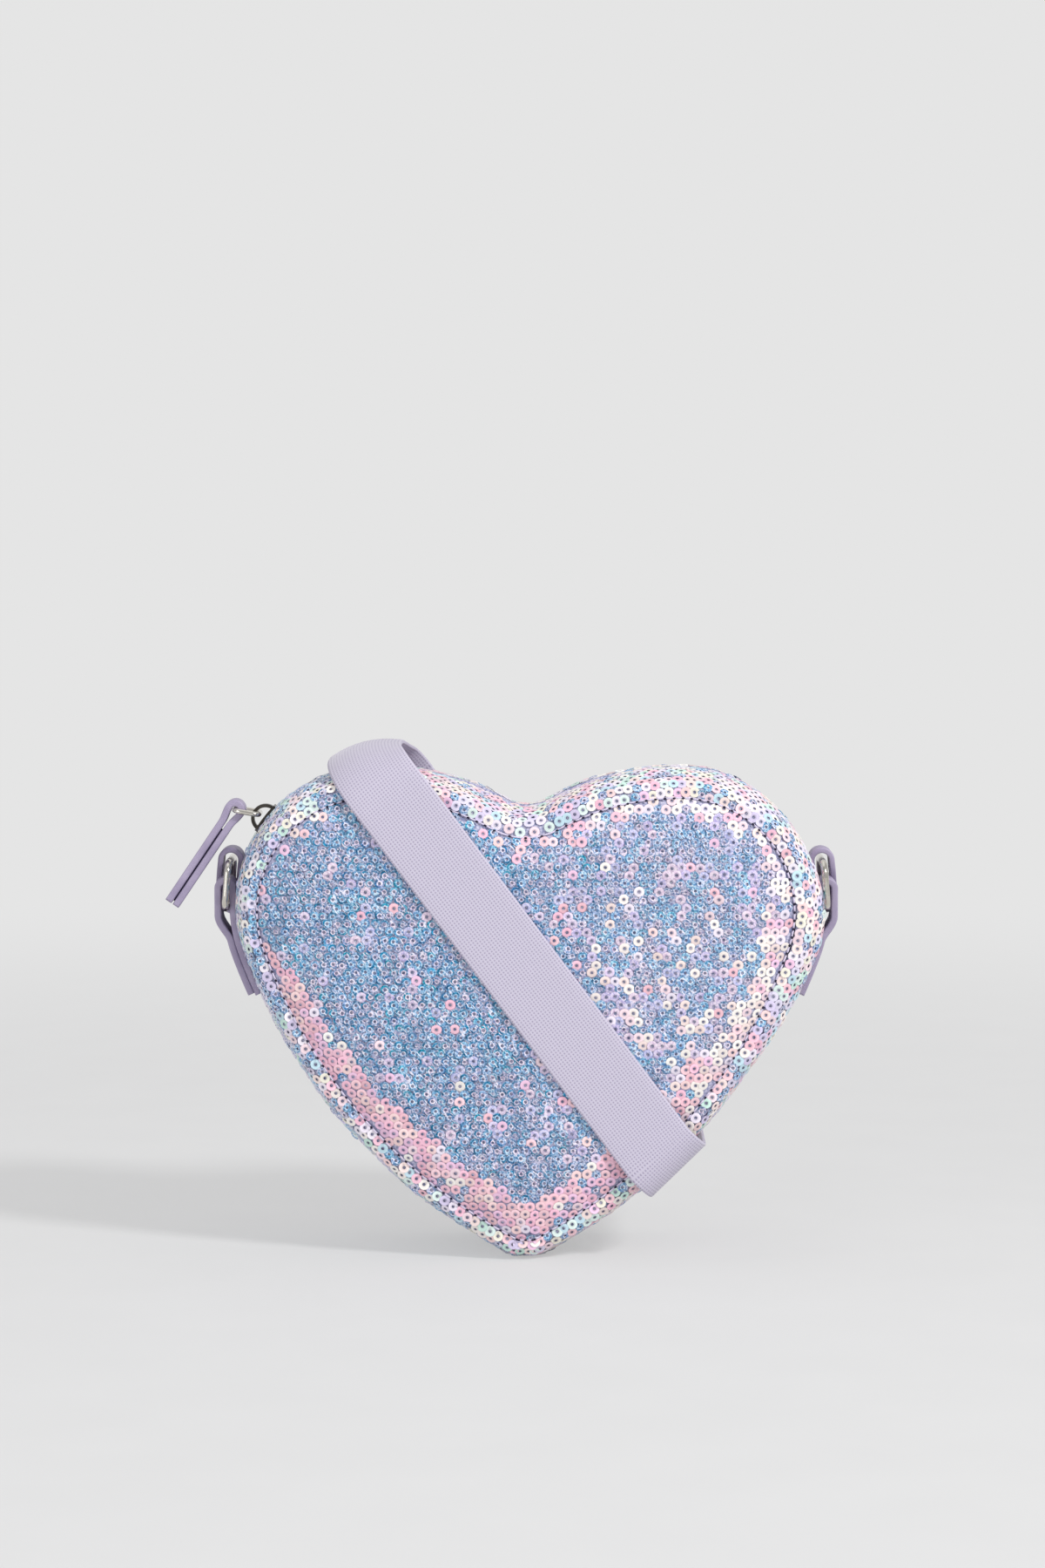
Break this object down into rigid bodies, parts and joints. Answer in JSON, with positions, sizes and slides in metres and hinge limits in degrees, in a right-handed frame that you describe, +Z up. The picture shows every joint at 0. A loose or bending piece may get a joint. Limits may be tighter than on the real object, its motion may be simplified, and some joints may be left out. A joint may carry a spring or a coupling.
{
  "type": "heart shaped zip purse",
  "caption": "Heart shaped padded zip purse with sequin panels, a zip over its top edge with a hinged puller, strap rings in folded tabs and a webbing strap wrapped round it.",
  "frame": {"origin": "middle of the flat patch at the tip on which the purse stands", "axes": "+X to the right seen from the front, -Y the front, +Z up"},
  "size_m": [0.2201, 0.0754, 0.169],
  "materials": {
    "sequin_fabric": "glossy sequins on mesh",
    "foam": "matt foam",
    "lining": "plain weave",
    "tape": "woven tape",
    "teeth": "moulded",
    "gunmetal": "dark plated",
    "nickel": "polished nickel",
    "coated_strip": "satin coated fabric",
    "webbing": "ribbed webbing"
  },
  "bodies": {
    "bag": {"front_panel": "sequin_fabric", "back_panel": "sequin_fabric", "front_foam": "foam", "back_foam": "foam", "front_lining": "lining", "back_lining": "lining", "lower_gusset": "sequin_fabric", "gusset_lining": "lining", "zip_gusset_front": "sequin_fabric", "zip_gusset_back": "sequin_fabric", "zip_tape_front": "tape", "zip_tape_back": "tape", "zip_teeth_front": "teeth", "zip_teeth_back": "teeth", "zip_top_stops": "gunmetal", "zip_bottom_stop": "gunmetal", "ring_tab_left": "coated_strip", "ring_tab_right": "coated_strip", "strap_webbing": "webbing", "strap_end_left": "coated_strip", "strap_end_right": "coated_strip"},
    "slider": {"slider_body": "gunmetal"},
    "pull_loop": {"pull_loop": "nickel"},
    "puller": {"puller_tab": "coated_strip"},
    "ring_left": {"d_ring_left": "nickel"},
    "ring_right": {"d_ring_right": "nickel"}
  },
  "joints": [
    {"name": "zip_slide", "type": "hinge", "parent": "bag", "child": "slider", "pos_m": [-0.0495, 0, 0.1133], "axis": [0, 1, 0], "range_deg": [0, 24], "deforming": ["zip_teeth_front", "zip_teeth_back"]},
    {"name": "pull_loop_swing", "type": "hinge", "parent": "slider", "child": "pull_loop", "pos_m": [-0.08727, 0, 0.14281], "axis": [0, 1, 0], "range_deg": [0, 50]},
    {"name": "puller_swing", "type": "hinge", "parent": "pull_loop", "child": "puller", "pos_m": [-0.09515, 0, 0.1442], "axis": [0, 1, 0], "range_deg": [0, 60]},
    {"name": "ring_left_swing", "type": "hinge", "parent": "bag", "child": "ring_left", "pos_m": [-0.0982, 0.005, 0.1122], "axis": [0, 1, 0], "range_deg": [-3, 3]},
    {"name": "ring_right_swing", "type": "hinge", "parent": "bag", "child": "ring_right", "pos_m": [0.0982, 0.005, 0.1122], "axis": [0, 1, 0], "range_deg": [-3, 3]}
  ]
}
